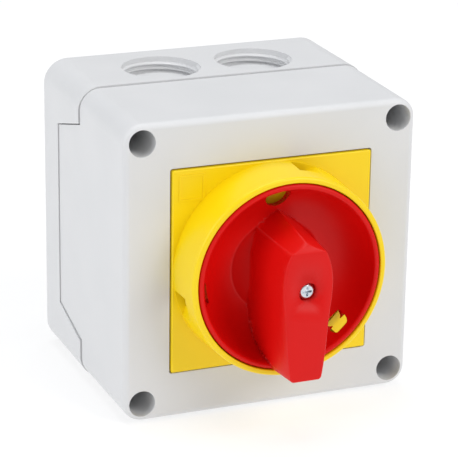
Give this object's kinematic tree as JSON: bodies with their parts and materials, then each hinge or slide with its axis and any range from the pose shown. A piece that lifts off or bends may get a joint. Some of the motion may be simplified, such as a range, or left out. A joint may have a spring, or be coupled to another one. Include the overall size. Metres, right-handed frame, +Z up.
{
  "type": "rotary isolator switch",
  "caption": "Wall-mounted square grey switch box with a yellow guard ring and a lockable red rotary handle, contacts inside.",
  "frame": {"origin": "centre of the base's back face, on the wall", "axes": "+X to the right and +Z up seen from the front, +Y into the wall"},
  "size_m": [0.096, 0.1029, 0.096],
  "materials": {
    "grey_shell": "fine moulded texture",
    "black_rubber": "smooth",
    "zinc_steel": "bright zinc plate",
    "yellow_moulding": "satin moulding",
    "red_moulding": "satin moulding",
    "black_moulding": "moulded",
    "natural_nylon": "moulded",
    "bright_steel": "drawn",
    "spring_steel": "drawn wire",
    "brass": "stamped"
  },
  "bodies": {
    "housing": {"base": "grey_shell", "cover": "grey_shell", "cover_gasket": "black_rubber", "cover_screws": "zinc_steel", "escutcheon": "yellow_moulding", "escutcheon_screws": "zinc_steel", "shaft_seal": "black_rubber", "latch_housing": "black_moulding", "detent_rollers": "bright_steel", "detent_springs": "spring_steel", "contact_block_front": "black_moulding", "contact_block_rear": "black_moulding", "terminals_front": "brass", "terminals_rear": "brass", "terminal_screws": "zinc_steel", "end_plate": "black_moulding", "tie_bolts": "zinc_steel", "tie_nuts": "zinc_steel", "earth_terminal": "brass", "earth_screw": "zinc_steel", "bridge_spring_front_left": "spring_steel", "bridge_spring_front_right": "spring_steel", "bridge_spring_rear_left": "spring_steel", "bridge_spring_rear_right": "spring_steel"},
    "handle": {"handle": "red_moulding", "handle_screw": "zinc_steel", "shaft": "bright_steel", "detent_star": "natural_nylon", "cam_front": "natural_nylon", "cam_rear": "natural_nylon"},
    "contact_front_left": {"plunger_front_left": "natural_nylon", "contact_bridge_front_left": "brass"},
    "contact_front_right": {"plunger_front_right": "natural_nylon", "contact_bridge_front_right": "brass"},
    "contact_rear_left": {"plunger_rear_left": "natural_nylon", "contact_bridge_rear_left": "brass"},
    "contact_rear_right": {"plunger_rear_right": "natural_nylon", "contact_bridge_rear_right": "brass"}
  },
  "joints": [
    {"name": "handle_turn", "type": "hinge", "parent": "housing", "child": "handle", "pos_m": [0, -0.0741, 0], "axis": [0, 1, 0], "range_deg": [0, 90]},
    {"name": "contact_front_left_slide", "type": "slide", "parent": "housing", "child": "contact_front_left", "axis": [1, 0, 0], "range_m": [0, 0.002], "deforming": ["bridge_spring_front_left"]},
    {"name": "contact_front_right_slide", "type": "slide", "parent": "housing", "child": "contact_front_right", "axis": [-1, 0, 0], "range_m": [0, 0.002], "deforming": ["bridge_spring_front_right"]},
    {"name": "contact_rear_left_slide", "type": "slide", "parent": "housing", "child": "contact_rear_left", "axis": [1, 0, 0], "range_m": [0, 0.002], "deforming": ["bridge_spring_rear_left"]},
    {"name": "contact_rear_right_slide", "type": "slide", "parent": "housing", "child": "contact_rear_right", "axis": [-1, 0, 0], "range_m": [0, 0.002], "deforming": ["bridge_spring_rear_right"]}
  ],
  "couplings": [
    {"joint": "contact_front_left_slide", "follows": "handle_turn", "m_per_rad": 0.001273},
    {"joint": "contact_front_right_slide", "follows": "handle_turn", "m_per_rad": 0.001273},
    {"joint": "contact_rear_left_slide", "follows": "handle_turn", "m_per_rad": 0.001273},
    {"joint": "contact_rear_right_slide", "follows": "handle_turn", "m_per_rad": 0.001273}
  ]
}
